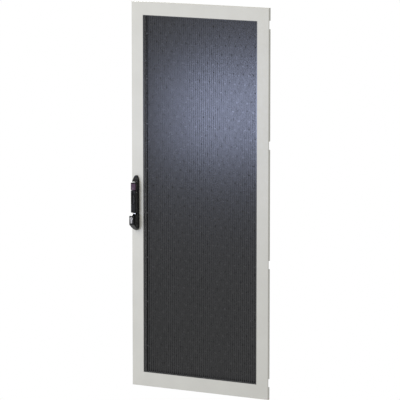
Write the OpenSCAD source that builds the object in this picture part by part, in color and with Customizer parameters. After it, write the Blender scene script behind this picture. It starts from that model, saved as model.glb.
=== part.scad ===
// Front door of a server rack: a folded sheet leaf with a slotted infill, four concealed hinges on the
// right stile, and a swing handle on the left stile that draws two latch rods together.
// The front face lies in the XZ plane and the leaf extends backwards along +Y.

/* [Leaf] */
// Width of the leaf
leaf_w = 796; // [500:1:1000]
// Height of the leaf
leaf_h = 1990; // [1700:1:2200]
// Depth of the folded edges
leaf_d = 16; // [15:0.5:17]
// Thickness of the sheet
sheet_t = 2; // [1.5:0.1:2.3]
// Outside radius of the folds
fold_r = 3; // [2.6:0.1:3.5]
// Width of the return lip behind each edge
lip_w = 12; // [10:0.5:13]
// Width of the channel between each upright edge and its stiffener tube
channel_w = 45; // [44:0.5:60]
// Height of the top rail
top_rail_h = 68; // [60:1:90]
// Height of the bottom rail
bottom_rail_h = 73; // [60:1:90]

/* [Slotted panel] */
// Thickness of the slotted sheet
panel_t = 1; // [0.8:0.1:1.5]
// Distance between neighbouring columns of slots
column_pitch = 11.4; // [11:0.1:16]
// Width of one slot
slot_w = 7.2; // [5:0.1:9]
// Slots in one column
slot_rows = 8; // [4:1:8]
// Height of the bridge between two slots
bridge_h = 4; // [3:0.5:12]
// Columns after which the heights of the bridges repeat
stagger = 5; // [2:1:7]
// Least border of plain sheet inside the opening
panel_border = 4; // [3:0.5:12]

/* [Stiffener tubes] */
// Width of a tube across the leaf
tube_w = 22; // [20:0.5:22]
// Depth of a tube behind the panel
tube_d = 22; // [20:0.5:26]
// Wall of a tube
tube_wall = 1.5; // [1.2:0.1:2]
// Pitch of the punched holes
hole_pitch = 25; // [25:1:50]
// Length of a punched window in the inner wall
window_l = 12.5; // [8:0.5:16]
// Width of a punched window in the inner wall
window_w = 8; // [5:0.5:10]
// Distance of a window from the front of its tube
window_y = 3.5; // [3:0.5:6]
// Diameter of the round holes in the rear wall
pitch_hole_d = 4.5; // [3.5:0.1:5]
// Distance of the hole line from the outer face of a tube
hole_edge = 8; // [7.5:0.1:8.5]

/* [Dust filter] */
// Thickness of the filter mat
mat_t = 4; // [3:0.5:6]
// Overlap of the mat on the tubes
mat_lap = 5; // [4:0.5:6]
// Thickness of the clips that hold the mat
clip_t = 1.2; // [0.8:0.1:1.5]
// Width of one clip
clip_w = 14; // [12:1:16]

/* [Hinges] */
// Distance of the first and last hinge from the ends of the leaf
hinge_end = 85; // [70:1:140]
// Distance of the hinge axis from the edge of the leaf
pin_in = 9; // [8.8:0.1:9.5]
// Distance of the hinge axis behind the front face
pin_back = 8; // [7.8:0.1:8.5]
// Diameter of a hinge pin
pin_d = 6; // [5:0.1:6.2]
// Outside diameter of the eye round the pin
eye_d = 11; // [10.4:0.1:11.2]
// Height of the eye
eye_h = 34; // [28:1:35]
// Thickness of the arm
arm_t = 8; // [6:0.5:8.2]
// Angle of the arm behind the axis
arm_angle = 140; // [139:1:142]
// Height of the notch in the folded edge
notch_h = 43; // [43:1:50]
// Distance of the cabinet face behind the front face of the leaf
cabinet_y = 22; // [21.8:0.1:24]
// Thickness of the hinge base
block_t = 4; // [3:0.1:4]
// Width of the hinge base
block_w = 28; // [26:0.5:28]
// Height of the hinge base
block_h = 40; // [36:1:41]
// Distance between the two fixing holes
block_hole_pitch = 24; // [20:1:26]
// Diameter of the fixing holes
block_hole_d = 6.6; // [5.5:0.1:7]

/* [Latch rods] */
// Width of a rod
rod_w = 14; // [13:0.5:14.5]
// Thickness of a rod
rod_t = 4; // [3:0.1:4.4]
// Module of the rack teeth
tooth_module = 1; // [0.98:0.01:1]
// Teeth on the pinion
pinion_teeth = 14; // [14:2:14]
// Width of the square that drives the pinion
square_w = 6; // [5:0.1:6.2]
// Diameter of the head of a latch stud
stud_head_d = 12; // [10:0.5:14]
// Distance the latch studs reach behind the rods
stud_reach = 16; // [14:0.5:18]

/* [Swing handle] */
// Height of the handle axis above the bottom of the leaf
handle_z = 1038; // [900:1:1100]
// Distance of the handle axis from the edge of the leaf
handle_in = 29.5; // [29.2:0.1:30.5]
// Width of the handle base
base_w = 31; // [30:0.5:32]
// Width of the lever
grip_w = 28; // [26:0.5:28]
// Thickness of the base plate
base_t = 11; // [11:0.5:11.5]
// Thickness of the rubber gasket under the base
gasket_t = 1; // [0.8:0.1:1.2]
// Height of the base above the handle axis
base_up = 59; // [50:1:70]
// Length of the base below the handle axis
base_down = 226; // [225:1:240]
// Distance of the front of the lever from the leaf
lever_front = 41; // [40.5:0.5:43]
// Distance of the back of the lever from the leaf
lever_back = 17; // [16.5:0.1:17.5]
// Length of the lever below the handle axis
lever_down = 132; // [120:1:132]
// Depth of the grip scoop in the lever
scoop_depth = 8; // [4:0.5:9]
// Travel of the release button
button_travel = 3; // [2:0.5:3]
// Distance of the front of the lock housing from the leaf
lock_front = 57; // [53:1:61]
// Diameter of the round part of the profile cylinder
cylinder_d = 17; // [16.5:0.1:17.2]
// Height of the whole profile cylinder
cylinder_h = 33; // [31:0.5:34]

/* [Hidden] */
$fn = 48;

// Clearances: running fit on a pin, sliding gap, loose gap, and the overrun of a cut
run = 0.05;
slip = 0.2;
loose = 0.5;
over = 1;

// Colours of the finishes
light_grey = "#d0d0cb";
black_paint = "#1b1c1f";
black_plastic = "#151517";
plum = "#6a2a5c";
zinc = "#b9bcc0";
steel = "#9a9da1";
rubber = "#202020";

// The opening of the leaf
open_w = leaf_w - 2 * (channel_w + tube_w);
open_bottom = bottom_rail_h;
open_top = leaf_h - top_rail_h;
open_h = open_top - open_bottom;

// Depths, counted back from the front face
panel_y = sheet_t;
tube_y = panel_y + panel_t;
tube_back = tube_y + tube_d;
inside_y = sheet_t;
lip_y = leaf_d - sheet_t;

// Fasteners
m6_r = 3;
m5_r = 2.5;
m4_r = 2;
clear_hole = 0.3;
nut_6_h = 5;
nut_6_across = 10;
nut_6_flange_r = 6.2;
nut_5_h = 4;
nut_5_across = 8;

// Holes and studs of the tubes
hole_line = tube_w - hole_edge;
side_hole_x = open_w / 2 + hole_line;
side_first_z = open_bottom - tube_w + hole_pitch / 2;
side_holes = floor((open_h + 2 * tube_w - hole_pitch) / hole_pitch);
cross_holes = floor((open_w - hole_pitch) / hole_pitch);
cross_first_x = -cross_holes * hole_pitch / 2;
side_stud_steps = [1.5, floor(side_holes / 4) + 0.5, floor(side_holes / 2) + 0.5,
                   floor(3 * side_holes / 4) + 0.5, side_holes - 1.5];
cross_stud_xs = [-open_w / 3, 0, open_w / 3];
cross_stud_zs = [open_bottom - hole_line, open_top + hole_line];
tube_stud_at = concat(
  [for (s = [-1, 1], k = side_stud_steps) [s * side_hole_x, side_first_z + k * hole_pitch]],
  [for (x = cross_stud_xs, z = cross_stud_zs) [x, z]]);
side_clip_steps = [4, floor(side_holes / 3), floor(2 * side_holes / 3), side_holes - 4];
mat_bottom = open_bottom - mat_lap;
mat_top = open_top + mat_lap;

// Hinges
pin_x = leaf_w / 2 - pin_in;
pin_r = pin_d / 2;
hinge_gap = (leaf_h - 2 * hinge_end) / 3;
hinge_zs = [for (i = [0:3]) hinge_end + i * hinge_gap];
block_y = cabinet_y - block_t;
block_right = pin_x - 3;
block_hole_x = block_right - block_w + block_hole_d;
ear_t = 3;
ear_z = eye_h / 2 + loose;
bracket_t = 2;
bracket_h = notch_h + 29;
bracket_left = pin_x - 19;
bracket_right = leaf_w / 2 - fold_r - slip;
bracket_window = eye_d / 2 + 1;
bracket_stud_x = pin_x - 11;
bracket_stud_z = bracket_h / 2 - 7;
clip_z = ear_z + ear_t + slip;
clip_h = 1;

// Latch rods, placed across the leaf from the handle axis
handle_x = -leaf_w / 2 + handle_in;
pitch_r = tooth_module * pinion_teeth / 2;
tooth_p = PI * tooth_module;
rod_travel = pitch_r * PI / 2;
rod_y = 7;
rack_back = pitch_r + 1.25 * tooth_module + 3.75;
case_half_w = rack_back + slip + 1;
case_half_h = 38;
case_floor = 2;
case_wall_back = 15;
cover_t = 2;
rail_in = rack_back - 3;
case_screw_z = 22;
rod_shoulder = case_half_h + rod_travel + 1.5;
latch_zs = hinge_zs;
rod_tail = 25;
guide_h = 20;
guide_left = 18;
guide_right = 12.5;
guide_back = 13;
guide_stud_x = -13.4;
guide_foot_t = 3;
guide_from_latch = 70;
guide_from_base = 10;
guide_from_case = 132;
guide_zs = [latch_zs[0] + guide_from_latch, handle_z - base_down - guide_from_base,
            handle_z + case_half_h + guide_from_case, latch_zs[3] - guide_from_latch];

// Handle, heights counted from the handle axis
base_y = -gasket_t;
base_front = base_y - base_t;
base_point = 34;
base_foot = 20;
hub_r = 10;
hub_front = lever_front - 1;
hub_top_r = 24.5;
hub_back = lever_back - 1;
pull_y = -(lever_front + lever_back) / 2;
knuckle_r = (lever_front - lever_back) / 2;
pull_z = -27;
tongue_w = 12;
tongue_r = knuckle_r - 3;
lever_pin_r = 2.5;
hub_foot = pull_z + knuckle_r + loose;
button_bottom = hub_foot + 0.5;
button_top = 19.5;
button_t = 9;
button_stem_w = 16;
stem_end = -(hub_back + 1 + button_travel + slip);
lock_top = -135;
lock_top_front = -147;
lock_slope_y = -47;
lock_foot_front = -190;
lever_screw_z = -108;
foot_screw_up = 14;
foot_screw_z = -base_down + foot_screw_up;
screw_depth = 9.5;

// Profile cylinder and the bolt that it drives
cylinder_z = -160;
cylinder_r = cylinder_d / 2;
web_w = 10;
cylinder_front = -lock_front - 0.8;
cylinder_back = -lever_back - 11.5;
plug_r = 5;
disc_r = 7.5;
disc_t = 3;
disc_back = cylinder_back + 0.3 + disc_t;
crank_r = 4.95;
crank_pin_r = 1.5;
bolt_w = 16;
bolt_nose_w = 11;
bolt_nose_h = 18;
bolt_t = 3.5;
bolt_y = disc_back + 0.8;
bolt_travel = crank_r * sqrt(2);
bolt_slot_play = 0.3;
bolt_z0 = cylinder_z - 8;
bolt_top = lock_top - 1;
bolt_shoulder = bolt_top - bolt_nose_h;
cylinder_screw_z = -177;

// The origin is the middle of the lowest hinge's two fixing holes, on the face that meets the cabinet
origin_at = [block_hole_x, cabinet_y, hinge_zs[0]];

// Points on an arc, from one angle to another
function arc(c, r, a0, a1, n = 6) =
  [for (i = [0:n]) let (a = a0 + (a1 - a0) * i / n) [c[0] + r * cos(a), c[1] + r * sin(a)]];

// Points on an ellipse, from one angle to another
function oval(c, rx, ry, a0, a1, n = 12) =
  [for (i = [0:n]) let (a = a0 + (a1 - a0) * i / n) [c[0] + rx * cos(a), c[1] + ry * sin(a)]];

module placed() {
  translate(-origin_at) children();
}

// Outline in X and Z, carried from one depth to another
module along_y(y0, y1) {
  translate([0, y1, 0]) rotate([90, 0, 0]) linear_extrude(y1 - y0) children();
}

// Outline in Y and Z, carried from one side to another
module along_x(x0, x1) {
  translate([x0, 0, 0]) rotate([90, 0, 90]) linear_extrude(x1 - x0) children();
}

module block(x0, x1, y0, y1, z0, z1) {
  translate([x0, y0, z0]) cube([x1 - x0, y1 - y0, z1 - z0]);
}

// Round bar or bore along Y
module rod_along_y(x, z, r, y0, y1) {
  translate([x, y1, z]) rotate([90, 0, 0]) cylinder(r = r, h = y1 - y0);
}

// Round bar or bore along X
module rod_along_x(y, z, r, x0, x1) {
  translate([x0, y, z]) rotate([0, 90, 0]) cylinder(r = r, h = x1 - x0);
}

// Round bar or bore along Z
module rod_along_z(x, y, r, z0, z1) {
  translate([x, y, z0]) cylinder(r = r, h = z1 - z0);
}

// Hexagon bar along Y, with two of its flats upright
module hexagon_along_y(x, z, across, y0, y1) {
  translate([x, y1, z]) rotate([90, 0, 0]) rotate(30) cylinder(r = across / sqrt(3), h = y1 - y0, $fn = 6);
}

// ---- Leaf ----

// Section of the blank with its two front corners rounded
module fold_section(half, y0, y1, r) {
  translate([-half, y0 + r]) square([2 * half, y1 - y0 - r]);
  translate([-half + r, y0]) square([2 * (half - r), r + 0.01]);
  for (s = [-1, 1]) translate([s * (half - r), y0 + r]) circle(r = r);
}

module fold_blank(inset, y1) {
  r = fold_r - inset;
  intersection() {
    translate([0, 0, inset]) linear_extrude(leaf_h - 2 * inset)
      fold_section(leaf_w / 2 - inset, inset, y1, r);
    translate([0, 0, leaf_h / 2]) rotate([0, 90, 0]) translate([0, 0, -leaf_w / 2])
      linear_extrude(leaf_w) fold_section(leaf_h / 2 - inset, inset, y1, r);
  }
}

module hinge_notches() {
  for (z = hinge_zs) {
    block(leaf_w / 2 - lip_w - over, leaf_w / 2 + over, pin_back - arm_t / 2 - loose, leaf_d + over,
          z - notch_h / 2, z + notch_h / 2);
  }
}

module mitre_slits() {
  for (sx = [-1, 1], z = [0, leaf_h])
    translate([sx * leaf_w / 2, lip_y - 0.5, z])
      rotate([0, z == 0 ? 45 * sx : -45 * sx, 0])
        translate([sx > 0 ? -(lip_w + over) * sqrt(2) : fold_r + over, 0, -0.4])
          cube([(lip_w + over) * sqrt(2) - fold_r - over, sheet_t + over, 0.8]);
}

module leaf_holes() {
  rod_along_y(handle_x, handle_z, hub_r + 2, -over, sheet_t + over);
  for (z = [case_screw_z, -case_screw_z, lever_screw_z, foot_screw_z])
    rod_along_y(handle_x, handle_z + z, m5_r + clear_hole, -over, sheet_t + over);
  for (z = hinge_zs)
    rod_along_y(-leaf_w / 2 + lip_w / 2 + 0.5, z + notch_h, 2.5, lip_y - over, leaf_d + over);
}

module door_leaf() {
  color(light_grey) difference() {
    fold_blank(0, leaf_d);
    fold_blank(sheet_t, lip_y);
    block(-leaf_w / 2 + lip_w, leaf_w / 2 - lip_w, sheet_t + over, leaf_d + over, lip_w, leaf_h - lip_w);
    block(-open_w / 2, open_w / 2, -over, sheet_t + over, open_bottom, open_top);
    hinge_notches();
    mitre_slits();
    leaf_holes();
  }
}

// ---- Slotted panel ----

columns = floor((open_w - 2 * panel_border - slot_w) / column_pitch) + 1;
row_pitch = (open_h - 2 * panel_border + bridge_h) / slot_rows;
slots_bottom = open_bottom + panel_border;
slots_top = open_top - panel_border;

// Each column is shifted against its neighbour, so that no two bridges lie side by side
module slot_columns() {
  for (i = [0:columns - 1]) {
    x = (i - (columns - 1) / 2) * column_pitch - slot_w / 2;
    shift = (2 * i % stagger) * row_pitch / stagger;
    for (j = [0:slot_rows - (shift > 0 ? 0 : 1)]) {
      z0 = max(slots_bottom, slots_bottom + j * row_pitch - shift);
      z1 = min(slots_top, slots_bottom + (j + 1) * row_pitch - shift - bridge_h);
      translate([x, z0]) square([slot_w, z1 - z0]);
    }
  }
}

module perforated_panel() {
  color(black_paint) difference() {
    along_y(panel_y, panel_y + panel_t) difference() {
      translate([-open_w / 2 - tube_w, open_bottom - tube_w]) square([open_w + 2 * tube_w, open_h + 2 * tube_w]);
      slot_columns();
    }
    for (p = tube_stud_at) rod_along_y(p[0], p[1], m6_r + clear_hole, panel_y - over, tube_y + over);
  }
}

// ---- Stiffener tubes ----

module side_tube(s) {
  inner = s * open_w / 2;
  outer = inner + s * tube_w;
  x0 = min(inner, outer);
  z0 = open_bottom - tube_w;
  z1 = open_top + tube_w;
  difference() {
    block(x0, x0 + tube_w, tube_y, tube_back, z0, z1);
    block(x0 + tube_wall, x0 + tube_w - tube_wall, tube_y + tube_wall, tube_back - tube_wall, z0 - over, z1 + over);
    for (k = [0:side_holes]) {
      z = side_first_z + k * hole_pitch;
      if (z > open_bottom && z < open_top)
        block(inner - tube_wall - 0.5, inner + tube_wall + 0.5, tube_y + window_y, tube_y + window_y + window_w,
              z - window_l / 2, z + window_l / 2);
      rod_along_y(s * side_hole_x, z, pitch_hole_d / 2, tube_back - tube_wall - over, tube_back + over);
    }
    for (p = tube_stud_at) if (p[0] * s > open_w / 2)
      rod_along_y(p[0], p[1], m6_r + clear_hole, tube_y - over, tube_back + over);
  }
}

module cross_tube(inner, s) {
  z0 = min(inner, inner + s * tube_w);
  line_z = inner + s * hole_line;
  difference() {
    block(-open_w / 2, open_w / 2, tube_y, tube_back, z0, z0 + tube_w);
    block(-open_w / 2 - over, open_w / 2 + over, tube_y + tube_wall, tube_back - tube_wall,
          z0 + tube_wall, z0 + tube_w - tube_wall);
    for (k = [0:cross_holes]) {
      x = cross_first_x + k * hole_pitch;
      block(x - window_l / 2, x + window_l / 2, tube_y + window_y, tube_y + window_y + window_w,
            inner - tube_wall - 0.5, inner + tube_wall + 0.5);
    }
    for (x = cross_stud_xs) rod_along_y(x, line_z, m6_r + clear_hole, tube_y - over, tube_back + over);
    for (x = cross_clip_xs) rod_along_y(x, line_z, pitch_hole_d / 2, tube_back - tube_wall - over, tube_back + over);
  }
}

cross_clip_xs = [-open_w / 6, open_w / 6];

module tube_left() { color(light_grey) side_tube(-1); }
module tube_right() { color(light_grey) side_tube(1); }
module tube_top() { color(light_grey) cross_tube(open_top, 1); }
module tube_bottom() { color(light_grey) cross_tube(open_bottom, -1); }

module tube_studs() {
  color(zinc) for (p = tube_stud_at) {
    rod_along_y(p[0], p[1], m6_r, inside_y, tube_back + nut_6_h + 2);
  }
}

module tube_nuts() {
  color(zinc) for (p = tube_stud_at) difference() {
    union() {
      rod_along_y(p[0], p[1], nut_6_flange_r, tube_back, tube_back + 1.5);
      hexagon_along_y(p[0], p[1], nut_6_across, tube_back + 1, tube_back + nut_6_h);
    }
    rod_along_y(p[0], p[1], m6_r + run, tube_back - over, tube_back + nut_6_h + over);
  }
}

// ---- Dust filter ----

module filter_mat() {
  color(rubber) block(-open_w / 2 - mat_lap, open_w / 2 + mat_lap, tube_back, tube_back + mat_t, mat_bottom, mat_top);
}

// One clip, its foot at the hole line and its nose over the mat; +X points to the mat
module filter_clip() {
  step_x = hole_line - mat_lap - 1;
  difference() {
    translate([0, 0, -clip_w / 2]) linear_extrude(clip_w) polygon([
      [-5, 0], [step_x, 0], [step_x, mat_t], [hole_line + 4, mat_t], [hole_line + 4, mat_t + clip_t],
      [step_x - clip_t, mat_t + clip_t], [step_x - clip_t, clip_t], [-5, clip_t]]);
    rod_along_y(0, 0, m4_r + clear_hole, -over, clip_t + over);
  }
}

// Places something at each clip, turned towards the mat
module at_clips() {
  for (s = [-1, 1], k = side_clip_steps)
    translate([s * side_hole_x, tube_back, side_first_z + k * hole_pitch]) rotate([0, s > 0 ? 180 : 0, 0]) children();
  for (x = cross_clip_xs) {
    translate([x, tube_back, cross_stud_zs[0]]) rotate([0, -90, 0]) children();
    translate([x, tube_back, cross_stud_zs[1]]) rotate([0, 90, 0]) children();
  }
}

module filter_clips() {
  color(zinc) at_clips() filter_clip();
}

module clip_screws() {
  color(zinc) at_clips() {
    rod_along_y(0, 0, 4, clip_t, clip_t + 2.2);
    rod_along_y(0, 0, m4_r, -6, clip_t + 1);
  }
}

// ---- Hinges ----

module hinge_block(i) {
  color(zinc) translate([0, 0, hinge_zs[i]]) difference() {
    union() {
      translate([0, 0, -eye_h / 2]) linear_extrude(eye_h) {
        translate([pin_x, pin_back]) circle(d = eye_d);
        intersection() {
          translate([pin_x, pin_back]) rotate(arm_angle) translate([0, -arm_t / 2]) square([40, arm_t]);
          translate([0, -over]) square([leaf_w, block_y + over + 0.5]);
        }
      }
      block(block_right - block_w, block_right, block_y, cabinet_y, -block_h / 2, block_h / 2);
    }
    rod_along_z(pin_x, pin_back, pin_r + run, -eye_h, eye_h);
    for (s = [-1, 1])
      rod_along_y(block_hole_x, s * block_hole_pitch / 2, block_hole_d / 2, block_y - over, cabinet_y + over);
  }
}

module hinge_bracket(i) {
  color(zinc) translate([0, 0, hinge_zs[i]]) difference() {
    union() {
      difference() {
        block(bracket_left, bracket_right, inside_y, inside_y + bracket_t, -bracket_h / 2, bracket_h / 2);
        block(pin_x - bracket_window, bracket_right + over, 0, leaf_d, -clip_z - clip_h - 3.5, clip_z + clip_h + 3.5);
      }
      for (z = [ear_z, -ear_z - ear_t]) translate([0, 0, z]) linear_extrude(ear_t) {
        translate([pin_x - bracket_window - 6, inside_y]) square([bracket_window + 6, pin_back - inside_y]);
        translate([pin_x, pin_back]) circle(d = eye_d);
      }
    }
    rod_along_z(pin_x, pin_back, pin_r + 0.02, -bracket_h, bracket_h);
    for (s = [-1, 1])
      rod_along_y(bracket_stud_x, s * bracket_stud_z, m5_r + clear_hole, 0, inside_y + bracket_t + over);
  }
}

module hinge_pin(i) {
  color(steel) translate([0, 0, hinge_zs[i]]) difference() {
    union() {
      rod_along_z(pin_x, pin_back, pin_r, -clip_z - 3, ear_z + ear_t + 1);
      rod_along_z(pin_x, pin_back, pin_r + 1.5, ear_z + ear_t, ear_z + ear_t + 2);
    }
    difference() {
      rod_along_z(pin_x, pin_back, pin_r + over, -clip_z - clip_h - run, -clip_z + run);
      rod_along_z(pin_x, pin_back, pin_r - 0.5, -clip_z - 2, -clip_z + 2);
    }
  }
}

module pin_clips() {
  color(steel) for (z = hinge_zs) difference() {
    rod_along_z(pin_x, pin_back, pin_r + 2, z - clip_z - clip_h, z - clip_z);
    rod_along_z(pin_x, pin_back, pin_r - 0.5 + run, z - clip_z - 2, z - clip_z + over);
    block(pin_x - pin_r + 0.7, pin_x + pin_r - 0.7, pin_back, pin_back + 6, z - clip_z - 2, z - clip_z + over);
  }
}

// Each M5 stud on the leaf: two at each hinge bracket and one at each rod guide, with the thickness it clamps
bracket_stud_at = concat(
  [for (z = hinge_zs, s = [-1, 1]) [bracket_stud_x, z + s * bracket_stud_z, bracket_t]],
  [for (z = guide_zs) [handle_x + guide_stud_x, z, guide_foot_t]]);

module bracket_studs() {
  color(zinc) for (p = bracket_stud_at)
    rod_along_y(p[0], p[1], m5_r, inside_y, inside_y + p[2] + nut_5_h + 1);
}

module bracket_nuts() {
  color(zinc) for (p = bracket_stud_at) difference() {
    hexagon_along_y(p[0], p[1], nut_5_across, inside_y + p[2], inside_y + p[2] + nut_5_h);
    rod_along_y(p[0], p[1], m5_r + run, 0, inside_y + p[2] + nut_5_h + over);
  }
}

module door_buffers() {
  x = -leaf_w / 2 + lip_w / 2 + 0.5;
  color(rubber) for (z = hinge_zs) {
    rod_along_y(x, z + notch_h, 4.5, leaf_d, cabinet_y - slip);
    rod_along_y(x, z + notch_h, 2.4, lip_y - 3, leaf_d + 1);
    rod_along_y(x, z + notch_h, 3.1, lip_y - 3, lip_y);
  }
}

earth_x = pin_x - 17;
earth_z = hinge_zs[0] + 90;

module earth_stud() {
  color("#c08a4a") {
    rod_along_y(earth_x, earth_z, 4, inside_y, inside_y + 17);
    rod_along_y(earth_x, earth_z, 6.5, inside_y, inside_y + 2);
  }
}

// ---- Latch rods and their drive ----

// Half the angle of a pinion tooth at a radius, with the flanks as involutes above the base circle
pressure = 20;
base_circle = pitch_r * cos(pressure);
backlash = 0.12;
function roll(r) = r <= base_circle ? 0 : let (a = acos(base_circle / r)) tan(a) * 180 / PI - a;
function half_tooth(r) =
  90 / pinion_teeth - backlash * 90 / (PI * pitch_r) + (tan(pressure) * 180 / PI - pressure) - roll(r);
root_r = pitch_r - 1.25 * tooth_module;
tip_r = pitch_r + 0.9 * tooth_module;
flank_rs = [for (i = [0:4]) base_circle + (tip_r - base_circle) * i / 4];

function polar(r, a) = [r * cos(a), r * sin(a)];

pinion_points = [for (k = [0:pinion_teeth - 1]) let (a = k * 360 / pinion_teeth) each concat(
  [polar(root_r, a - half_tooth(base_circle))],
  [for (r = flank_rs) polar(r, a - half_tooth(r))],
  [for (i = [0:4]) let (r = flank_rs[4 - i]) polar(r, a + half_tooth(r))],
  [polar(root_r, a + half_tooth(base_circle))])];

module pinion() {
  color(steel) translate([handle_x, 0, handle_z]) difference() {
    union() {
      along_y(rod_y - 1, rod_y + rod_t + 1) polygon(pinion_points);
      rod_along_y(0, 0, root_r - run, inside_y + 0.3, case_wall_back + cover_t - 0.1);
    }
    block(-square_w / 2 - 0.1, square_w / 2 + 0.1, 0, 20, -square_w / 2 - 0.1, square_w / 2 + 0.1);
  }
}

// Teeth of a rack whose pitch line is X = 0 and whose body lies on the -X side
rack_add = 0.8 * tooth_module;
rack_ded = 1.1 * tooth_module;
rack_half = tooth_p / 4 - backlash / 2;
function rack_tooth(z) = [
  [-rack_ded, z - rack_half - rack_ded * tan(pressure)], [rack_add, z - rack_half + rack_add * tan(pressure)],
  [rack_add, z + rack_half - rack_add * tan(pressure)], [-rack_ded, z + rack_half + rack_ded * tan(pressure)]];

// One rod as it lies above the axis; the rack runs from its foot and the bar ends past its last latch
module rod_shape(top) {
  foot = -9;
  polygon(concat(
    [[-rack_back, foot], [-pitch_r - rack_ded, foot]],
    [for (k = [-2:5]) for (p = rack_tooth((k + 0.5) * tooth_p)) [p[0] - pitch_r, p[1]]],
    [[-pitch_r - rack_ded, rod_shoulder], [rod_w / 2, rod_shoulder], [rod_w / 2, top], [-rod_w / 2, top],
     [-rod_w / 2, rod_shoulder + 12], [-rack_back, rod_shoulder + 6]]));
}

module rod_upper() {
  top = latch_zs[3] + rod_tail - handle_z;
  color(zinc) difference() {
    translate([handle_x, 0, handle_z]) along_y(rod_y, rod_y + rod_t) rod_shape(top);
    for (z = [latch_zs[2], latch_zs[3]]) rod_along_y(handle_x, z, m5_r + run, 0, leaf_d);
  }
}

module rod_lower() {
  bottom = handle_z - latch_zs[0] + rod_tail;
  color(zinc) difference() {
    translate([handle_x, 0, handle_z]) along_y(rod_y, rod_y + rod_t) rotate(180) rod_shape(bottom);
    for (z = [latch_zs[0], latch_zs[1]]) rod_along_y(handle_x, z, m5_r + run, 0, leaf_d);
  }
}

// Riveted through the rod, with a collar behind it and a mushroom head
module latch_stud(z) {
  back = rod_y + rod_t;
  rod_along_y(handle_x, z, m5_r, rod_y - 1, back + 1);
  rod_along_y(handle_x, z, 4, rod_y - 1.5, rod_y);
  rod_along_y(handle_x, z, 4, back, back + stud_reach - 3);
  rod_along_y(handle_x, z, stud_head_d / 2, back + stud_reach - 3, back + stud_reach);
}

module latch_studs_upper() { color(steel) for (z = [latch_zs[2], latch_zs[3]]) latch_stud(z); }
module latch_studs_lower() { color(steel) for (z = [latch_zs[0], latch_zs[1]]) latch_stud(z); }

module rod_guide(i) {
  color(black_plastic) translate([handle_x, 0, guide_zs[i]]) difference() {
    union() {
      block(-guide_left, -rod_w / 2, inside_y, inside_y + guide_foot_t, -guide_h / 2, guide_h / 2);
      block(-rod_w / 2 - 2, guide_right, inside_y, guide_back, -guide_h / 2, guide_h / 2);
    }
    block(-rod_w / 2 - slip, rod_w / 2 + slip, rod_y - slip, rod_y + rod_t + slip, -guide_h, guide_h);
    rod_along_y(guide_stud_x, 0, m5_r + clear_hole, 0, inside_y + guide_foot_t + over);
  }
}

module lock_case() {
  color(zinc) translate([handle_x, 0, handle_z]) difference() {
    union() {
      block(-case_half_w, case_half_w, inside_y, inside_y + case_floor, -case_half_h, case_half_h);
      for (s = [-1, 1]) {
        block(min(s * (rack_back + slip), s * case_half_w), max(s * (rack_back + slip), s * case_half_w),
              inside_y, case_wall_back, -case_half_h, case_half_h);
        block(min(s * rail_in, s * (case_half_w - 0.5)), max(s * rail_in, s * (case_half_w - 0.5)),
              inside_y, rod_y - slip, -case_half_h, case_half_h);
        rod_along_y(0, s * case_screw_z, 4.2, inside_y, case_wall_back);
      }
    }
    rod_along_y(0, 0, root_r, 0, inside_y + case_floor + over);
    for (s = [-1, 1]) rod_along_y(0, s * case_screw_z, m5_r + run, 0, case_wall_back + over);
  }
}

module case_cover() {
  color(zinc) translate([handle_x, 0, handle_z]) difference() {
    union() {
      block(-case_half_w, case_half_w, case_wall_back, case_wall_back + cover_t, -case_half_h, case_half_h);
      for (s = [-1, 1])
        block(min(s * rail_in, s * rack_back), max(s * rail_in, s * rack_back),
              rod_y + rod_t + slip, case_wall_back + 0.5, -case_half_h, case_half_h);
    }
    rod_along_y(0, 0, root_r, 0, leaf_d + over + cover_t);
    for (s = [-1, 1]) rod_along_y(0, s * case_screw_z, m5_r + run, 0, case_wall_back + cover_t + over);
  }
}

module case_screws() {
  back = case_wall_back + cover_t;
  color(zinc) translate([handle_x, 0, handle_z]) for (s = [-1, 1]) {
    rod_along_y(0, s * case_screw_z, m5_r, base_y - screw_depth + 1, back + 1);
    rod_along_y(0, s * case_screw_z, 4.2, back, back + 2.8);
  }
}

// ---- Handle base and lock ----

// Outline of the base plate: straight sides, an oval point above and an oval foot below
module base_outline(inset) {
  w = base_w / 2 - inset;
  polygon(concat(
    oval([0, base_up - base_point], w, base_point - inset, 0, 180),
    oval([0, -base_down + base_foot], w, base_foot - inset, 180, 360)));
}

// Outline of the profile cylinder, grown by a gap
module cylinder_outline(gap) {
  web_z = cylinder_z + cylinder_r - cylinder_h + web_w / 2;
  translate([0, cylinder_z]) circle(r = cylinder_r + gap);
  translate([-web_w / 2 - gap, web_z]) square([web_w + 2 * gap, cylinder_z - web_z]);
  translate([0, web_z]) circle(r = web_w / 2 + gap);
}

// Section across the handle with its front edges rounded
module grip_section(w, front, back, r) {
  translate([-w / 2, front + r]) square([w, back - front - r]);
  translate([-w / 2 + r, front]) square([w - 2 * r, r + 0.01]);
  for (s = [-1, 1]) translate([s * (w / 2 - r), front + r]) circle(r = r);
}

// Ramp of the nose: a hollow arc from the top of the base plate to the front of the turning head
ramp_top = base_up - 3;
ramp_foot = hub_top_r - 0.5;
ramp_y0 = -base_front + 0.5;
ramp_h = ramp_top - ramp_foot;
ramp_y = (hub_front * hub_front + ramp_h * ramp_h - ramp_y0 * ramp_y0) / (2 * (hub_front - ramp_y0));
ramp_r = ramp_y - ramp_y0;

module nose() {
  intersection() {
    along_x(-base_w / 2, base_w / 2) polygon(concat(
      [[base_y - 1, 0], [base_y - 1, base_up]],
      arc([-ramp_y, ramp_top], ramp_r, 0, -acos((ramp_y - hub_front) / ramp_r), 10),
      [[-hub_front, 0]]));
    along_y(-hub_front - 1, base_y - 0.5) base_outline(0.6);
    translate([0, 0, -5]) linear_extrude(base_up + 5) grip_section(grip_w, -hub_front - 0.5, base_y, 5);
  }
}

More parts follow.
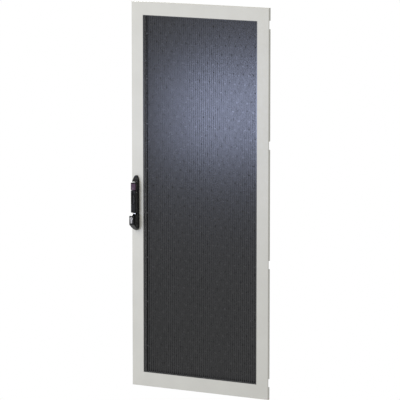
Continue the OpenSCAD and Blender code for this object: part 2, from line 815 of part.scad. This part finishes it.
module lock_housing() {
  intersection() {
    along_x(-grip_w / 2, grip_w / 2) polygon([
      [base_y - 1, -base_down], [base_y - 9, -base_down], [-lock_front + 3, lock_foot_front - 3],
      [-lock_front, lock_foot_front + 2], [-lock_front, lock_top_front - 2], [-lock_front + 2, lock_top_front],
      [lock_slope_y, lock_top_front], [base_front, lock_top], [base_y - 1, lock_top]]);
    along_y(-lock_front - 1, base_y - 0.5) base_outline(0.6);
    translate([0, 0, -base_down]) linear_extrude(base_down) grip_section(grip_w, -lock_front, base_y, 4);
  }
}

module handle_base() {
  color(black_plastic) translate([handle_x, 0, handle_z]) difference() {
    union() {
      along_y(base_front + 2, base_y) base_outline(0);
      along_y(base_front, base_y) base_outline(1.2);
      nose();
      lock_housing();
    }
    rod_along_y(0, 0, hub_top_r + 0.8, -lock_front, base_front);
    rod_along_y(0, 0, hub_r + run, -lock_front, over);
    rod_along_y(0, 0, hub_r + 3, base_y - 3, over);
    for (z = [case_screw_z, -case_screw_z, lever_screw_z, foot_screw_z])
      rod_along_y(0, z, m5_r + run, base_y - screw_depth, over);
    along_y(-lock_front - over, cylinder_back) cylinder_outline(0.1);
    rod_along_y(0, cylinder_z, cylinder_r + 0.1, cylinder_back - over, bolt_y);
    block(-bolt_w / 2 - slip, bolt_w / 2 + slip, bolt_y - slip, bolt_y + bolt_t + slip,
          bolt_z0 - 0.5, bolt_shoulder + bolt_travel + 0.5);
    block(-bolt_nose_w / 2 - slip, bolt_nose_w / 2 + slip, bolt_y - slip, bolt_y + bolt_t + slip,
          bolt_shoulder, lock_top + over);
    rod_along_y(0, cylinder_screw_z, m5_r + run, cylinder_back - over, over);
    rod_along_y(0, cylinder_screw_z, 4.7, base_y - 5, over);
  }
}

module handle_gasket() {
  color(rubber) translate([handle_x, 0, handle_z]) difference() {
    along_y(base_y, 0) base_outline(0.8);
    rod_along_y(0, 0, hub_r + 2, -3, over);
    for (z = [case_screw_z, -case_screw_z, lever_screw_z, foot_screw_z])
      rod_along_y(0, z, m5_r + clear_hole, -3, over);
  }
}

module handle_screws() {
  color(zinc) translate([handle_x, 0, handle_z]) for (z = [lever_screw_z, foot_screw_z]) {
    rod_along_y(0, z, m5_r, base_y - screw_depth + 1, inside_y + 1);
    rod_along_y(0, z, 4.6, inside_y, inside_y + 2.6);
  }
}

module lock_cylinder() {
  color(steel) translate([handle_x, 0, handle_z]) difference() {
    along_y(cylinder_front, cylinder_back) cylinder_outline(0);
    rod_along_y(0, cylinder_z, plug_r + run, cylinder_front - over, cylinder_back + over);
    rod_along_y(0, cylinder_screw_z, m5_r + run, cylinder_back - 10, cylinder_back + over);
  }
}

module cylinder_plug() {
  color(zinc) translate([handle_x, 0, handle_z + cylinder_z]) difference() {
    union() {
      rod_along_y(0, 0, plug_r, cylinder_front - 0.6, disc_back - 1);
      rod_along_y(0, 0, disc_r, disc_back - disc_t, disc_back);
      rod_along_y(crank_r * cos(45), -crank_r * sin(45), crank_pin_r, disc_back - 1, bolt_y + bolt_t - 0.1);
    }
    block(-0.9, 0.9, cylinder_front - over, cylinder_front + 12, -3.6, 4);
    block(-1.6, 1.6, cylinder_front - over, cylinder_front + 12, 2, 3);
  }
}

module cylinder_screw() {
  color(zinc) translate([handle_x, 0, handle_z]) {
    rod_along_y(0, cylinder_screw_z, m5_r, cylinder_back - 9, base_y - 4);
    rod_along_y(0, cylinder_screw_z, 4.4, base_y - 5, base_y - 0.5);
  }
}

// Flat bar with a cross slot that the crank pin rides in
module lock_bolt() {
  slot_z = cylinder_z - crank_r * sin(45);
  slot_x0 = crank_r * cos(45) - bolt_slot_play;
  slot_x1 = crank_r + bolt_slot_play;
  r = crank_pin_r + bolt_slot_play;
  color(steel) translate([handle_x, 0, handle_z]) difference() {
    along_y(bolt_y, bolt_y + bolt_t) {
      translate([-bolt_w / 2, bolt_z0]) square([bolt_w, bolt_shoulder - bolt_z0]);
      translate([-bolt_nose_w / 2, bolt_z0]) square([bolt_nose_w, bolt_top - bolt_z0]);
    }
    block(slot_x0, slot_x1, bolt_y - over, bolt_y + bolt_t + over, slot_z - r, slot_z + r);
    for (x = [slot_x0, slot_x1]) rod_along_y(x, slot_z, r, bolt_y - over, bolt_y + bolt_t + over);
  }
}

// ---- Turning head, lever and button ----

module handle_hub() {
  color(black_plastic) translate([handle_x, 0, handle_z]) difference() {
    union() {
      intersection() {
        along_y(-hub_front, -hub_back) intersection() {
          circle(r = hub_top_r);
          translate([-hub_top_r, hub_foot]) square([2 * hub_top_r, 2 * hub_top_r]);
        }
        translate([0, 0, hub_foot - 1]) linear_extrude(2 * hub_top_r) grip_section(grip_w, -hub_front, -hub_back, 4);
      }
      along_x(-tongue_w / 2, tongue_w / 2) {
        translate([pull_y, pull_z]) circle(r = tongue_r);
        translate([pull_y - tongue_r, pull_z]) square([2 * tongue_r, hub_foot - pull_z + 0.5]);
      }
      rod_along_y(0, 0, hub_r, -hub_back - 0.5, 1.5);
    }
    block(-grip_w, grip_w, -lock_front, -hub_front + button_t + button_travel + slip, hub_foot - over, button_top + slip);
    block(-button_stem_w / 2 - slip, button_stem_w / 2 + slip, -lock_front, stem_end + button_travel + slip,
          -button_stem_w / 2 - slip, button_stem_w / 2 + slip);
    rod_along_x(pull_y, pull_z, lever_pin_r + 0.02, -grip_w, grip_w);
    block(-square_w / 2 - 0.1, square_w / 2 + 0.1, -8, 3, -square_w / 2 - 0.1, square_w / 2 + 0.1);
    difference() {
      rod_along_y(0, 0, hub_r + over, base_y - 2.75, base_y - 1.45);
      rod_along_y(0, 0, hub_r - 1, base_y - 4, over);
    }
  }
}

module hub_clip() {
  color(steel) translate([handle_x, 0, handle_z]) difference() {
    rod_along_y(0, 0, hub_r + 2.5, base_y - 2.7, base_y - 1.5);
    rod_along_y(0, 0, hub_r - 1 + run, base_y - 4, over);
    block(-5, 5, base_y - 4, over, 0, hub_r + 4);
  }
}

module handle_spindle() {
  color(steel) translate([handle_x, 0, handle_z])
    block(-square_w / 2, square_w / 2, -7.8, case_wall_back + cover_t - 0.2, -square_w / 2, square_w / 2);
}

module lever_pin() {
  color(steel) translate([handle_x, 0, handle_z]) rod_along_x(pull_y, pull_z, lever_pin_r, -grip_w / 2 + 0.5, grip_w / 2 - 0.5);
}

module swing_lever() {
  scoop_r = 12;
  scoop_y = -lever_front - scoop_r + scoop_depth;
  color(black_plastic) translate([handle_x, 0, handle_z]) difference() {
    intersection() {
      along_x(-grip_w / 2, grip_w / 2) polygon(concat(
        arc([pull_y, pull_z], knuckle_r, 0, 180, 24),
        arc([-lever_front + 6, -lever_down + 6], 6, 180, 270, 6),
        arc([-lever_back - 2, -lever_down + 2], 2, 270, 360, 3)));
      translate([0, 0, -lever_down]) linear_extrude(lever_down) grip_section(grip_w, -lever_front, -lever_back, 5);
    }
    rod_along_z(0, scoop_y, scoop_r, -78, -45);
    for (z = [-78, -45]) translate([0, scoop_y, z]) sphere(r = scoop_r);
    rod_along_x(pull_y, pull_z, tongue_r + 0.6, -tongue_w / 2 - 0.3, tongue_w / 2 + 0.3);
    block(-tongue_w / 2 - 0.3, tongue_w / 2 + 0.3, -lock_front, 0, pull_z - 3.5, pull_z + knuckle_r + over);
    rod_along_x(pull_y, pull_z, lever_pin_r + run, -grip_w, grip_w);
    block(-bolt_nose_w / 2 - 0.5, bolt_nose_w / 2 + 0.5, bolt_y - 0.5, bolt_y + bolt_t + 0.5,
          -lever_down - over, -lever_down + 5);
  }
}

module release_button() {
  color(plum) translate([handle_x, 0, handle_z]) difference() {
    union() {
      intersection() {
        along_y(-lever_front, -lever_front + button_t) intersection() {
          circle(r = hub_top_r);
          translate([-grip_w / 2, button_bottom]) square([grip_w, button_top - button_bottom]);
        }
        translate([0, 0, button_bottom]) linear_extrude(button_top - button_bottom)
          grip_section(grip_w, -lever_front, -lever_back, 4);
      }
      block(-button_stem_w / 2, button_stem_w / 2, -lever_front + button_t - 1, stem_end,
            -button_stem_w / 2, button_stem_w / 2);
    }
    rod_along_y(0, 0, 4.5, -lever_front + button_t, stem_end + over);
    translate([0, -lever_front - 9, -4]) sphere(r = 11);
  }
}

// Coil spring behind the button: a ring of six points swept along a helix, closed at both ends
spring_r = 3.4;
wire_r = 0.45;
spring_turns = 4;
turn_steps = 14;
spring_y0 = -lever_front + button_t + wire_r + 0.3;
spring_y1 = stem_end + button_travel + slip - wire_r - 0.3;
spring_steps = spring_turns * turn_steps;
spring_points = [for (i = [0:spring_steps], k = [0:5])
  let (a = 360 * i / turn_steps, b = 60 * k, rr = spring_r + wire_r * cos(b))
  [rr * cos(a), spring_y0 + (spring_y1 - spring_y0) * i / spring_steps + wire_r * sin(b), rr * sin(a)]];
spring_sides = [for (i = [0:spring_steps - 1], k = [0:5])
  let (a = 6 * i + k, b = 6 * i + (k + 1) % 6) each [[a, b, b + 6], [a, b + 6, a + 6]]];

module button_spring() {
  color(steel) translate([handle_x, 0, handle_z])
    polyhedron(spring_points, concat(spring_sides,
      [[5, 4, 3, 2, 1, 0], [for (k = [0:5]) 6 * spring_steps + k]]));
}

placed() hinge_block(0);  // hinge_block_1
placed() hinge_block(1);  // hinge_block_2
placed() hinge_block(2);  // hinge_block_3
placed() hinge_block(3);  // hinge_block_4
placed() door_leaf();
placed() perforated_panel();
placed() tube_left();
placed() tube_right();
placed() tube_top();
placed() tube_bottom();
placed() tube_studs();
placed() tube_nuts();
placed() filter_mat();
placed() filter_clips();
placed() clip_screws();
placed() hinge_bracket(0);  // hinge_bracket_1
placed() hinge_bracket(1);  // hinge_bracket_2
placed() hinge_bracket(2);  // hinge_bracket_3
placed() hinge_bracket(3);  // hinge_bracket_4
placed() hinge_pin(0);  // hinge_pin_1
placed() hinge_pin(1);  // hinge_pin_2
placed() hinge_pin(2);  // hinge_pin_3
placed() hinge_pin(3);  // hinge_pin_4
placed() pin_clips();
placed() bracket_studs();
placed() bracket_nuts();
placed() door_buffers();
placed() earth_stud();
placed() handle_base();
placed() handle_gasket();
placed() handle_screws();
placed() lock_cylinder();
placed() cylinder_plug();
placed() cylinder_screw();
placed() lock_bolt();
placed() handle_hub();
placed() swing_lever();
placed() lever_pin();
placed() release_button();
placed() button_spring();
placed() handle_spindle();
placed() hub_clip();
placed() pinion();
placed() lock_case();
placed() case_cover();
placed() case_screws();
placed() rod_upper();
placed() rod_lower();
placed() latch_studs_upper();
placed() latch_studs_lower();
placed() rod_guide(0);  // rod_guide_1
placed() rod_guide(1);  // rod_guide_2
placed() rod_guide(2);  // rod_guide_3
placed() rod_guide(3);  // rod_guide_4
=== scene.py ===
import math

import bpy
import numpy as np
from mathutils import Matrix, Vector


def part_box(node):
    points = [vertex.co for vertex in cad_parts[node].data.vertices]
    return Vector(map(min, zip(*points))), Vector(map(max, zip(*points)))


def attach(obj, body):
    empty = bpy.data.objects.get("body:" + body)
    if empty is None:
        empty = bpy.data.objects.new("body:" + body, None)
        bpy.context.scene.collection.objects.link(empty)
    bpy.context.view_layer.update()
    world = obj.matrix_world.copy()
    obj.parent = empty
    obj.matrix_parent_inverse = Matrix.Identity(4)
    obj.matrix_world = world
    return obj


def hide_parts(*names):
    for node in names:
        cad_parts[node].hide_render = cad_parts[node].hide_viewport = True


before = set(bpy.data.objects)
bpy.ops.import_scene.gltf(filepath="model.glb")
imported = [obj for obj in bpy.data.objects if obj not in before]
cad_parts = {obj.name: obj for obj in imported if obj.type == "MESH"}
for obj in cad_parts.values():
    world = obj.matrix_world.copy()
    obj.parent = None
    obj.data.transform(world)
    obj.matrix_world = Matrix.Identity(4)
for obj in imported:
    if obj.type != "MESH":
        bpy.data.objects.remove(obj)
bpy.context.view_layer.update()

# Door leaf. A folded sheet-steel frame in light grey powder coat, satin with a fine orange peel.
# The coat's tone drifts a little darker in broad random clouds.


def nodes_of(name):
    """An empty node material, its node tree and its Principled shader."""
    material = bpy.data.materials.new(name)
    material.use_nodes = True
    tree = material.node_tree
    return material, tree, tree.nodes["Principled BSDF"]


def grain(tree, scale, detail=2.0, roughness=0.5):
    """Noise in the part's own metres: scale is in waves per metre, so 1000 gives about 1 mm."""
    place = tree.nodes.new("ShaderNodeTexCoord")
    noise = tree.nodes.new("ShaderNodeTexNoise")
    noise.inputs["Scale"].default_value = scale
    noise.inputs["Detail"].default_value = detail
    noise.inputs["Roughness"].default_value = roughness
    tree.links.new(place.outputs["Object"], noise.inputs["Vector"])
    return noise.outputs["Fac"]


def between(tree, value, low, high, start=0.3, end=0.7):
    """Carries value from start..end over to low..high."""
    scale = tree.nodes.new("ShaderNodeMapRange")
    scale.inputs["From Min"].default_value = start
    scale.inputs["From Max"].default_value = end
    scale.inputs["To Min"].default_value = low
    scale.inputs["To Max"].default_value = high
    tree.links.new(value, scale.inputs["Value"])
    return scale.outputs["Result"]


def blend_colour(tree, value, first, second):
    """A colour that goes from first to second as value goes from 0 to 1."""
    mix = tree.nodes.new("ShaderNodeMix")
    mix.data_type = "RGBA"
    mix.inputs["A"].default_value = (*first, 1)
    mix.inputs["B"].default_value = (*second, 1)
    tree.links.new(value, mix.inputs["Factor"])
    return mix.outputs["Result"]


def relief(tree, height, depth, edge, strength=1.0):
    """A bump of that depth in metres from a height between 0 and 1, over edges eased to the radius edge."""
    eased = tree.nodes.new("ShaderNodeBevel")
    eased.inputs["Radius"].default_value = edge
    bump = tree.nodes.new("ShaderNodeBump")
    tree.links.new(eased.outputs["Normal"], bump.inputs["Normal"])
    bump.inputs["Distance"].default_value = depth
    bump.inputs["Strength"].default_value = strength
    tree.links.new(height, bump.inputs["Height"])
    return bump.outputs["Normal"]


def coated(name, colour, dirt, rough=(0.38, 0.5), peel=900, depth=0.00002, specular=0.5, edge=0.0012):
    """Powder coat: cloudy colour, uneven gloss and a fine peel."""
    material, tree, shader = nodes_of(name)
    clouds = between(tree, grain(tree, 7, 4), 0, 1, 0.35, 0.75)
    tree.links.new(blend_colour(tree, clouds, colour, dirt), shader.inputs["Base Color"])
    tree.links.new(between(tree, grain(tree, 45, 3), *rough), shader.inputs["Roughness"])
    tree.links.new(relief(tree, grain(tree, peel, 2), depth, edge), shader.inputs["Normal"])
    shader.inputs["Specular IOR Level"].default_value = specular
    return material


def plated(name, colour, stain, rough=(0.25, 0.42), scale=400, depth=0.000012, edge=0.0004):
    """Plated or bare steel: metallic, with cloudy colour and fine marks."""
    material, tree, shader = nodes_of(name)
    shader.inputs["Metallic"].default_value = 1.0
    clouds = between(tree, grain(tree, 60, 4), 0, 1)
    tree.links.new(blend_colour(tree, clouds, colour, stain), shader.inputs["Base Color"])
    tree.links.new(between(tree, grain(tree, 150, 3), *rough), shader.inputs["Roughness"])
    tree.links.new(relief(tree, grain(tree, scale, 3), depth, edge), shader.inputs["Normal"])
    return material


def moulded(name, colour, worn, rough=(0.42, 0.55), texture=1600, depth=0.00003, specular=0.5, edge=0.001):
    """Moulded plastic with an eroded texture, a little polished by hands."""
    material, tree, shader = nodes_of(name)
    touched = between(tree, grain(tree, 30, 3), 0, 1, 0.4, 0.7)
    tree.links.new(blend_colour(tree, touched, colour, worn), shader.inputs["Base Color"])
    tree.links.new(between(tree, grain(tree, 60, 3), *rough), shader.inputs["Roughness"])
    tree.links.new(relief(tree, grain(tree, texture, 2), depth, edge), shader.inputs["Normal"])
    shader.inputs["Specular IOR Level"].default_value = specular
    return material


def dress(material, *names):
    """Gives CAD nodes their finish."""
    for name in names:
        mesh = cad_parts[name].data
        mesh.materials.clear()
        mesh.materials.append(material)


light_grey = coated("light_grey_coat", (0.545, 0.535, 0.478), (0.515, 0.505, 0.45))
dress(light_grey, "door_leaf")

# Slotted sheet. One millimetre steel, punched with upright slots that have round ends, each column set on from
# the last by a fifth of a slot's pitch, under a black powder coat with a soft gloss.


def solid_of(name, points, faces, material):
    """A mesh piece from points in metres and faces as lists of point numbers, with doubled points joined."""
    keys, first, number = np.unique(np.round(points, 7), axis=0, return_index=True, return_inverse=True)
    number = number.ravel()
    mesh = bpy.data.meshes.new(name)
    mesh.from_pydata(points[first].tolist(), [], [[int(number[i]) for i in face] for face in faces])
    mesh.materials.append(material)
    piece = bpy.data.objects.new(name, mesh)
    bpy.context.scene.collection.objects.link(piece)
    return piece


def slot_cell(steps, step, pitch, width, bridge, turn=8):
    """One slot and the metal round it, in X and Z from the cell's lower middle.

    The cell is pitch wide and steps * step high. The slot has ends of radius width / 2 at
    (width / 2) * (cos t, sin t) and stands bridge / 2 in from the cell's foot and head.
    Gives the points, the front faces (anticlockwise from the front) and the slot's outline.
    """
    r = width / 2
    heights = np.arange(steps + 1) * step
    slot_heights = heights.copy()
    slot_heights[[0, -1]] = bridge / 2 + r, heights[-1] - bridge / 2 - r
    angle = np.linspace(math.pi, 2 * math.pi, turn + 1)[1:-1]
    foot = np.column_stack([r * np.cos(angle), slot_heights[0] + r * np.sin(angle)])
    head = np.column_stack([r * np.cos(angle), slot_heights[-1] - r * np.sin(angle)])
    chains = [np.column_stack([np.full(steps + 1, x), z]) for x, z in
              ((-pitch / 2, heights), (pitch / 2, heights), (-r, slot_heights), (r, slot_heights))]
    points = np.vstack([*chains, foot, head])
    n = steps + 1
    outer_left, outer_right, left, right = (list(range(k * n, (k + 1) * n)) for k in range(4))
    low_arc = [left[0], *range(4 * n, 4 * n + turn - 1), right[0]]
    high_arc = [left[-1], *range(4 * n + turn - 1, 4 * n + 2 * turn - 2), right[-1]]
    faces = []
    for m in range(steps):
        faces.append([outer_left[m], left[m], left[m + 1], outer_left[m + 1]])
        faces.append([right[m], outer_right[m], outer_right[m + 1], right[m + 1]])
    for i in range(turn):
        side = (outer_left, outer_right)[i >= turn // 2]
        faces.append([side[0], low_arc[i + 1], low_arc[i]])
        faces.append([side[-1], high_arc[i], high_arc[i + 1]])
    faces.append([outer_left[0], outer_right[0], low_arc[turn // 2]])
    faces.append([outer_left[-1], high_arc[turn // 2], outer_right[-1]])
    return points, faces, low_arc + right[1:] + high_arc[-2::-1] + left[-2:0:-1]


def slotted_sheet(name, low, high, columns, pitch, width, rows, stagger, bridge, border, lap, material):
    """A sheet from corner low to corner high, with its slots border in from the opening and lap of it hidden."""
    foot, top = low.z + lap + border - bridge / 2, high.z - lap - border + bridge / 2
    step = (top - foot) / (rows * stagger)
    cells = {k: slot_cell(k, step, pitch, width, bridge) for k in range(1, stagger + 1)}
    centre = (low.x + high.x) / 2
    outlines, faces, loops, count = [], [], [], 0

    def add(flat, flat_faces, loop=()):
        nonlocal count
        outlines.append(flat)
        faces.extend([[i + count for i in face] for face in flat_faces])
        loops.append([i + count for i in loop])
        count += len(flat)

    for i in range(columns):
        x = centre + (i - (columns - 1) / 2) * pitch
        shift = 2 * i % stagger
        breaks = sorted({0, rows * stagger, *range(stagger - shift, rows * stagger, stagger)})
        for a, b in zip(breaks, breaks[1:]):
            points, front, outline = cells[b - a]
            add(points + (x, foot + a * step), front, outline)
    x_lines = np.array([low.x, *(centre + (np.arange(columns + 1) - columns / 2) * pitch), high.x])
    z_lines = np.array([low.z, *(foot + np.arange(rows * stagger + 1) * step), high.z])
    square = [[0, 1, 2, 3]]
    edges = [(i, j) for i in range(len(x_lines) - 1) for j in range(len(z_lines) - 1)
             if i in (0, len(x_lines) - 2) or j in (0, len(z_lines) - 2)]
    for i, j in edges:
        (x0, x1), (z0, z1) = x_lines[i:i + 2], z_lines[j:j + 2]
        add(np.array([[x0, z0], [x1, z0], [x1, z1], [x0, z1]]), square)
    flat = np.vstack(outlines)
    rim = ([(x, low.z) for x in x_lines] + [(high.x, z) for z in z_lines[1:]]
           + [(x, high.z) for x in x_lines[-2::-1]] + [(low.x, z) for z in z_lines[-2:0:-1]])
    flat = np.vstack([flat, rim])
    loops.append(list(range(count + len(rim) - 1, count - 1, -1)))
    total = len(flat)
    points = np.vstack([np.column_stack([flat[:, 0], np.full(total, y), flat[:, 1]]) for y in (low.y, high.y)])
    back = [[i + total for i in reversed(face)] for face in faces]
    walls = [[a, b, b + total, a + total] for loop in loops if loop for a, b in zip(loop, loop[1:] + loop[:1])]
    return solid_of(name, points, faces + back + walls, material)


black_coat = coated("black_coat", (0.010, 0.010, 0.010), (0.014, 0.014, 0.014), (0.20, 0.23), 1100, edge=0.0003)
panel_low, panel_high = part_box("perforated_panel")
slotted_panel = slotted_sheet("slotted_panel", panel_low, panel_high, columns=57, pitch=0.0114, width=0.0072,
                              rows=8, stagger=5, bridge=0.004, border=0.004, lap=0.022, material=black_coat)
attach(slotted_panel, "door")
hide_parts("perforated_panel")

tube_coat = coated("tube_coat", (0.60, 0.605, 0.585), (0.55, 0.55, 0.53))
dress(tube_coat, "tube_left", "tube_right", "tube_top", "tube_bottom")

zinc = plated("zinc_plate", (0.72, 0.73, 0.74), (0.6, 0.61, 0.6))
steel = plated("bright_steel", (0.62, 0.61, 0.6), (0.5, 0.49, 0.47), (0.2, 0.35))
dress(zinc, "tube_studs", "tube_nuts", "filter_clips", "clip_screws", *[f"hinge_bracket_{i}" for i in range(1, 5)],
      "bracket_studs", "bracket_nuts", "lock_case", "case_cover", "case_screws", "rod_upper", "rod_lower",
      "latch_studs_upper", "latch_studs_lower", *[f"hinge_block_{i}" for i in range(1, 5)], "lock_bolt")
dress(steel, *[f"hinge_pin_{i}" for i in range(1, 5)], "pin_clips", "handle_screws", "cylinder_screw", "lever_pin",
      "button_spring", "handle_spindle", "hub_clip", "pinion", "earth_stud")
nickel = plated("satin_nickel", (0.3, 0.29, 0.275), (0.24, 0.232, 0.22), (0.3, 0.4))
dress(nickel, "lock_cylinder", "cylinder_plug")

# The filter mat's near-black foam is painted shade. It stands in for the dark inside of a cabinet behind the door, so
# the slots read dark.
foam_as_painted_shade = moulded("filter_foam_painted_shade", (0.012, 0.012, 0.012), (0.018, 0.018, 0.018), (0.24, 0.28), 700, 0.00002, 0.5)
dress(foam_as_painted_shade, "filter_mat")
rubber = moulded("rubber", (0.02, 0.02, 0.02), (0.03, 0.03, 0.03), (0.7, 0.85), 1500, 0.00003, 0.3)
dress(rubber, "door_buffers", "handle_gasket")
black_plastic = moulded("black_plastic", (0.003, 0.003, 0.0035), (0.005, 0.005, 0.0055), (0.2, 0.28), 1600, 0.00001, 0.2)
dress(black_plastic, "handle_base", "handle_hub", "swing_lever", *[f"rod_guide_{i}" for i in range(1, 5)])
plum_plastic = moulded("plum_plastic", (0.036, 0.009, 0.032), (0.046, 0.012, 0.041), (0.16, 0.24), 1600, 0.00001, 0.45)
dress(plum_plastic, "release_button")

# Studio. A pale floor well below the hung door, a large soft key from the left and above,
# a cool softbox low on the left that the black panel mirrors, and a white surround.


def emitter(name, place, aim, size, power, colour):
    """A rectangular area lamp at place, turned to aim."""
    lamp = bpy.data.lights.new(name, "AREA")
    lamp.shape = "RECTANGLE"
    lamp.size, lamp.size_y = size
    lamp.energy = power
    lamp.color = colour
    holder = bpy.data.objects.new(name, lamp)
    bpy.context.scene.collection.objects.link(holder)
    holder.location = place
    holder.rotation_euler = (Vector(aim) - Vector(place)).to_track_quat("-Z", "Y").to_euler()
    return holder


low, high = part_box("door_leaf")
middle = (low + high) / 2
key = emitter("key_lamp", (-1.8, -4.1, 4.1), (-0.36, 0, 1.2), (2.6, 2.6), 138, (1, 0.99, 0.97))
cool = emitter("cool_softbox", (-1.50, -2.58, 1.03), (-0.15, 0, 1.38), (0.8, 0.5), 19.5, (0.6, 0.68, 1.0))
grip = emitter("grip_strip", (-1.95, -1.06, 0.64), (-0.733, -0.06, 0.87), (0.3, 0.4), 3.4, (1, 1, 1))
rim = emitter("rim_lamp", (-1.7, 0.98, 2.2), (-0.73, -0.06, 0.8), (0.7, 0.7), 30, (1, 1, 1))

world = bpy.data.worlds.new("surround")
bpy.context.scene.world = world
world.use_nodes = True
air = world.node_tree
seen = air.nodes.new("ShaderNodeLightPath")
camera_or_gloss = air.nodes.new("ShaderNodeMath")
camera_or_gloss.operation = "MAXIMUM"
with_glass = air.nodes.new("ShaderNodeMath")
with_glass.operation = "MAXIMUM"
air.links.new(seen.outputs["Is Camera Ray"], camera_or_gloss.inputs[0])
air.links.new(seen.outputs["Is Glossy Ray"], camera_or_gloss.inputs[1])
air.links.new(camera_or_gloss.outputs[0], with_glass.inputs[0])
air.links.new(seen.outputs["Is Transmission Ray"], with_glass.inputs[1])
level = air.nodes.new("ShaderNodeMapRange")
level.inputs["To Min"].default_value = 0.52
level.inputs["To Max"].default_value = 1.0
air.links.new(with_glass.outputs[0], level.inputs["Value"])
air.nodes["Background"].inputs["Color"].default_value = (1, 1, 1, 1)
air.links.new(level.outputs["Result"], air.nodes["Background"].inputs["Strength"])

floor_z = low.z - 0.62
ring = np.linspace(0, 2 * math.pi, 96, endpoint=False)
disc = np.column_stack([middle.x + 2.2 * np.cos(ring), middle.y + 2.2 * np.sin(ring), np.full(96, floor_z)])
floor_mesh = bpy.data.meshes.new("floor")
floor_mesh.from_pydata(disc.tolist(), [], [list(range(96))])
floor = bpy.data.objects.new("floor", floor_mesh)
bpy.context.scene.collection.objects.link(floor)
floor_paint, floor_tree, floor_shader = nodes_of("floor_paint")
floor_tree.links.new(between(floor_tree, grain(floor_tree, 3, 2), 0.6, 0.7), floor_shader.inputs["Roughness"])
floor_shader.inputs["Base Color"].default_value = (0.86, 0.86, 0.86, 1)
floor_mesh.materials.append(floor_paint)

# Camera. From the front right and a little above, a long lens from about seventeen metres.
azimuth, elevation = math.radians(29.48), math.radians(8.63)
back = Vector((math.sin(azimuth) * math.cos(elevation), -math.cos(azimuth) * math.cos(elevation), math.sin(elevation)))
right = Vector((math.cos(azimuth), math.sin(azimuth), 0))
lens = bpy.data.cameras.new("camera")
lens.sensor_width, lens.lens = 36, 307.8
lens.clip_start, lens.clip_end = 0.1, 200
camera = bpy.data.objects.new("camera", lens)
bpy.context.scene.collection.objects.link(camera)
camera.location = Vector((middle.x, low.y, middle.z)) + back * 17.36 + right * 0.0027
camera.rotation_mode = "QUATERNION"
camera.rotation_quaternion = (-back).to_track_quat("-Z", "Y")
bpy.context.scene.camera = camera
bpy.context.scene.view_settings.view_transform = "Standard"
